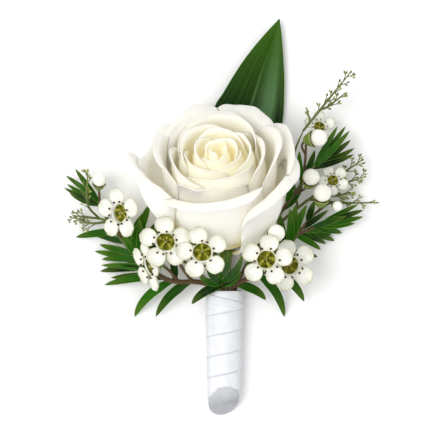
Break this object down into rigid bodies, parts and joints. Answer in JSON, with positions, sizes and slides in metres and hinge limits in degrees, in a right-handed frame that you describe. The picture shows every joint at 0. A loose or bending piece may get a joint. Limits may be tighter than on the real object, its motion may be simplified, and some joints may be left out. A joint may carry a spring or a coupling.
{
  "type": "boutonniere",
  "caption": "Buttonhole posy: a white rose with waxflower, buds, seed sprays and a long ruscus leaf on a short satin-wrapped handle, lying on its back.",
  "frame": {"origin": "middle of the flat on the back of the wrapped handle, on the surface that the posy lies on", "axes": "+Y from the cut end of the handle to the tip of the long leaf, +Z up from the surface to the face of the flowers, +X to the right as the face is seen with +Y up"},
  "size_m": [0.1089, 0.1388, 0.0504],
  "materials": {
    "petal_white": "matt, thin, with a soft bloom",
    "waxflower_white": "waxy half gloss",
    "leaf_green": "glossy leaf with fine veins",
    "sprig_green": "half gloss",
    "spray_green": "dry and matt",
    "stem_green": "half gloss",
    "tape_green": "matt crepe",
    "satin_white": "satin sheen"
  },
  "bodies": {
    "root": {"ribbon_wrap": "satin_white", "stem_binding": "tape_green", "rose_petals": "petal_white", "rose_stem": "stem_green", "ruscus_leaf": "leaf_green", "sprig_left": "sprig_green", "sprig_centre": "sprig_green", "sprig_right": "sprig_green", "sprig_upper": "sprig_green", "caspia_left": "spray_green", "caspia_right": "spray_green", "waxflower_a": "waxflower_white", "waxflower_b": "waxflower_white", "waxflower_c": "waxflower_white", "waxflower_d": "waxflower_white", "waxflower_e": "waxflower_white", "waxflower_f": "waxflower_white", "waxflower_g": "waxflower_white", "waxflower_h": "waxflower_white", "bud_upper": "waxflower_white", "bud_middle": "waxflower_white", "bud_lower": "waxflower_white", "bud_small": "waxflower_white", "bud_left": "waxflower_white", "bud_front": "waxflower_white"}
  },
  "joints": []
}
